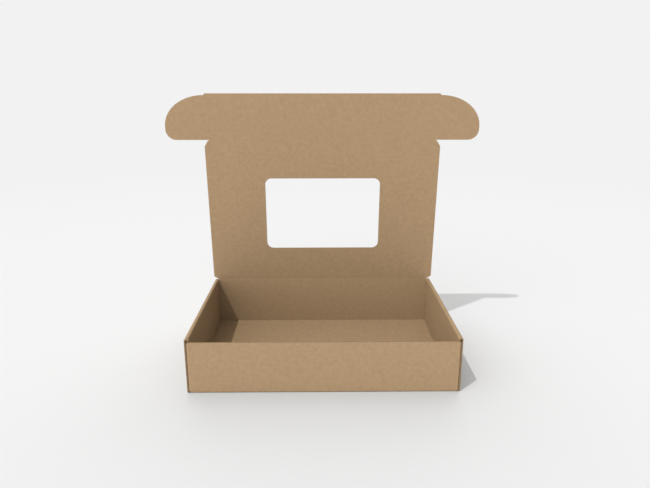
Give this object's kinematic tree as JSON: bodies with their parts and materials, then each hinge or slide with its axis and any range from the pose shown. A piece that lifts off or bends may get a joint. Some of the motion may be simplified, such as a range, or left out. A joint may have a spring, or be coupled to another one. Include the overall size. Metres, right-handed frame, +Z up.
{
  "type": "mailer box with window",
  "caption": "Roll-end tuck-top mailer box folded from one sheet of kraft micro-flute board, with a rounded rectangular window cut in its hinged lid, shown open.",
  "frame": {"origin": "on the floor, under the middle of the tray's footprint", "axes": "+Z up; the front wall faces -Y and the lid hinges at the +Y side; +X to the right seen from the front"},
  "size_m": [0.3324, 0.1634, 0.263],
  "materials": {
    "kraft_board": "uncoated brown kraft liner, matt, with fine fibre flecks, slightly darker at the cut edges"
  },
  "bodies": {
    "tray": {"tray": "kraft_board"},
    "lid": {"lid": "kraft_board"},
    "tuck_flap": {"tuck_flap": "kraft_board"},
    "ear_left": {"ear_left": "kraft_board"},
    "ear_right": {"ear_right": "kraft_board"}
  },
  "joints": [
    {"name": "lid_hinge", "type": "hinge", "parent": "tray", "child": "lid", "pos_m": [0, 0.0811, 0.0541], "axis": [1, 0, 0], "range_deg": [-95, 85]},
    {"name": "tuck_fold", "type": "hinge", "parent": "lid", "child": "tuck_flap", "pos_m": [0, 0.06709, 0.21419], "axis": [1, 0, 0], "range_deg": [0, 90]},
    {"name": "ear_left_fold", "type": "hinge", "parent": "tuck_flap", "child": "ear_left", "pos_m": [-0.1203, 0.06709, 0.21419], "axis": [0, -0.0872, 0.9962], "range_deg": [0, 90]},
    {"name": "ear_right_fold", "type": "hinge", "parent": "tuck_flap", "child": "ear_right", "pos_m": [0.1203, 0.06709, 0.21419], "axis": [0, 0.0872, -0.9962], "range_deg": [0, 90]}
  ],
  "couplings": [
    {"joint": "ear_left_fold", "follows": "tuck_fold", "ratio": 1},
    {"joint": "ear_right_fold", "follows": "tuck_fold", "ratio": 1}
  ]
}
